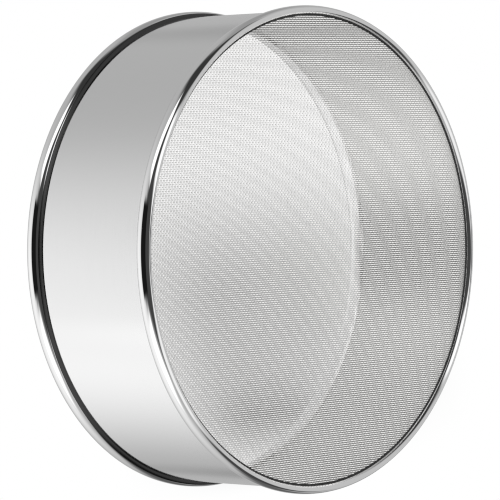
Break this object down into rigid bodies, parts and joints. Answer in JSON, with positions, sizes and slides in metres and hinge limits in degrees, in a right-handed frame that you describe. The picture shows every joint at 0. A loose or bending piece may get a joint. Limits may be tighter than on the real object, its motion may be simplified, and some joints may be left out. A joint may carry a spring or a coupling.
{
  "type": "soil sieve",
  "caption": "Round polished steel drum, open at the mouth, with a rolled hoop round each end and fine woven wire cloth across the base, for sifting soil and compost.",
  "frame": {"origin": "on the drum's axis, in the flat face that the base hoop rests on", "axes": "+Z along the drum's axis from the wire cloth at the base to the open mouth; the drum is round, so X and Y are alike, and the cloth's wires run within three degrees of them"},
  "size_m": [0.2, 0.2, 0.0694],
  "materials": {
    "satin_wall": "bright satin stainless sheet with a very fine grain round the drum",
    "polished_rim": "mirror-polished stainless steel, not plated",
    "core_wire": "drawn steel wire, hidden inside the hoops",
    "woven_cloth": "plain-woven bright stainless wire"
  },
  "bodies": {
    "root": {"drum_wall": "satin_wall", "mouth_rim": "polished_rim", "mouth_rim_wire": "core_wire", "base_rim": "polished_rim", "base_rim_wire": "core_wire", "wire_cloth": "woven_cloth"}
  },
  "joints": []
}
